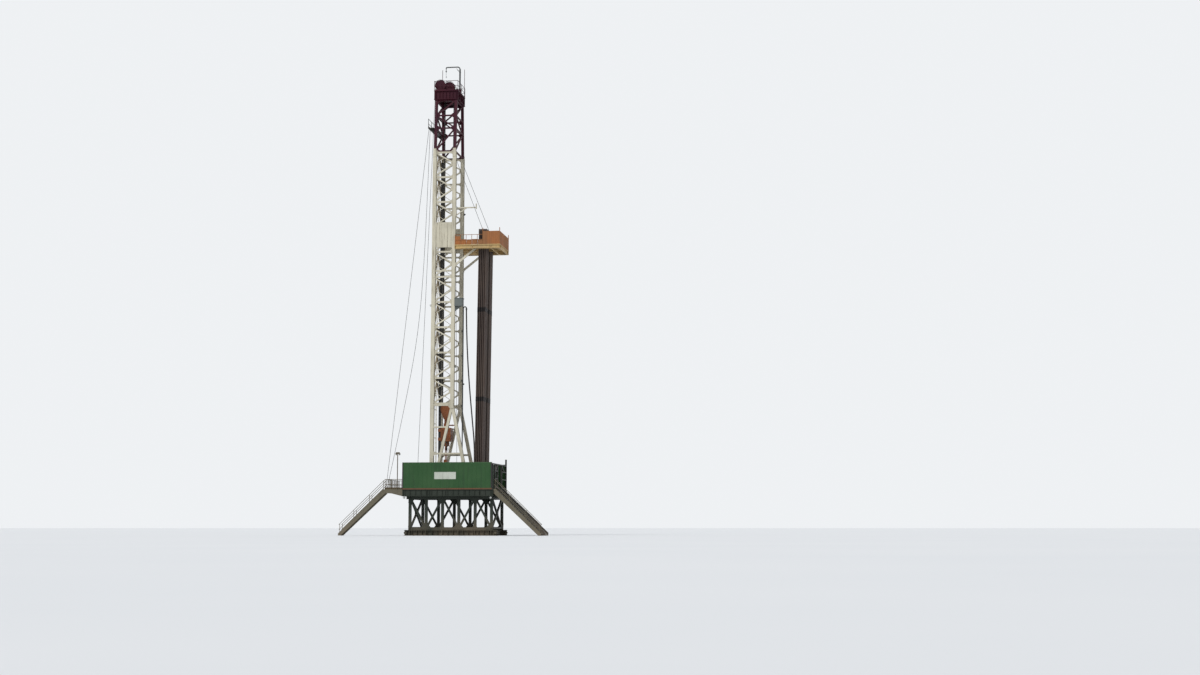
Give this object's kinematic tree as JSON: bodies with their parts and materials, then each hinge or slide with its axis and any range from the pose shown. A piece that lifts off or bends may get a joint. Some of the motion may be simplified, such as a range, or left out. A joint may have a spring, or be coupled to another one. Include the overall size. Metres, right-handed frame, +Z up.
{
  "type": "land drilling rig, 1:2 scale model",
  "caption": "Land drilling rig at 1:2 scale: lattice mast on a box substructure, racking board with pipe, crown, top drive on its lines, ramp, stairs and wind walls.",
  "frame": {"origin": "well axis at ground level, the centre of the base of the bounding box", "axes": "+Z up along the well and the mast, +X towards the ramp and V-door, Y across the rig"},
  "size_m": [11.3, 4, 26.43],
  "materials": {
    "dark_green_paint": "weathered dark green paint",
    "deck_steel": "worn dark deck plate",
    "worn_steel": "greasy grey steel",
    "wall_green": "satin green sheet",
    "black_paint": "dull black paint",
    "rail_tan": "dusty yellow-brown paint",
    "mast_cream": "weathered cream paint",
    "hose_rubber": "matt black rubber",
    "crown_burgundy": "dark burgundy paint",
    "board_orange": "faded orange paint",
    "pipe_steel": "dark pipe steel",
    "wire_rope": "greased wire rope"
  },
  "bodies": {
    "root": {"base_skid_near": "dark_green_paint", "base_skid_far": "dark_green_paint", "base_spreaders": "dark_green_paint", "side_frame_near": "dark_green_paint", "side_frame_far": "dark_green_paint", "cross_bracing": "dark_green_paint", "floor_frame": "dark_green_paint", "floor_deck": "deck_steel", "rotary_table": "worn_steel", "drawworks": "worn_steel", "wind_wall_near": "wall_green", "wind_wall_far": "wall_green", "wind_wall_rear": "wall_green", "v_door_frame": "black_paint", "v_door_ramp": "black_paint", "front_stair": "rail_tan", "front_stair_treads": "black_paint", "rear_platform": "rail_tan", "rear_stair": "rail_tan", "rear_stair_treads": "black_paint", "handrails": "rail_tan", "mast_base_near": "mast_cream", "mast_base_far": "mast_cream", "mast_side_near": "mast_cream", "mast_side_far": "mast_cream", "mast_rear": "mast_cream", "torque_track": "black_paint", "ladder": "mast_cream", "standpipe": "worn_steel", "rotary_hose": "hose_rubber", "crown_near": "crown_burgundy", "crown_far": "crown_burgundy", "crown_rear": "crown_burgundy", "crown_front": "crown_burgundy", "crown_platform": "black_paint", "water_table": "crown_burgundy", "crown_sheaves": "crown_burgundy", "board_platform": "board_orange", "board_fingers": "board_orange", "board_rails": "board_orange", "board_braces": "mast_cream", "board_boom": "mast_cream", "mast_panels": "mast_cream", "service_box": "worn_steel", "racked_pipe_near": "pipe_steel", "racked_pipe_far": "pipe_steel", "stay_lines": "wire_rope", "slack_line": "wire_rope", "hoist_lines": "wire_rope", "drilling_lines": "wire_rope"},
    "block": {"travelling_block": "board_orange", "top_drive": "board_orange"},
    "davit": {"crown_davit": "worn_steel"}
  },
  "joints": [
    {"name": "block_hoist", "type": "slide", "parent": "root", "child": "block", "axis": [0, 0, 1], "range_m": [0, 14.5], "deforming": ["drilling_lines", "rotary_hose"]},
    {"name": "davit_swivel", "type": "hinge", "parent": "root", "child": "davit", "pos_m": [0.58, 0, 24.8], "axis": [0, 0, 1], "range_deg": [-110, 110]}
  ]
}
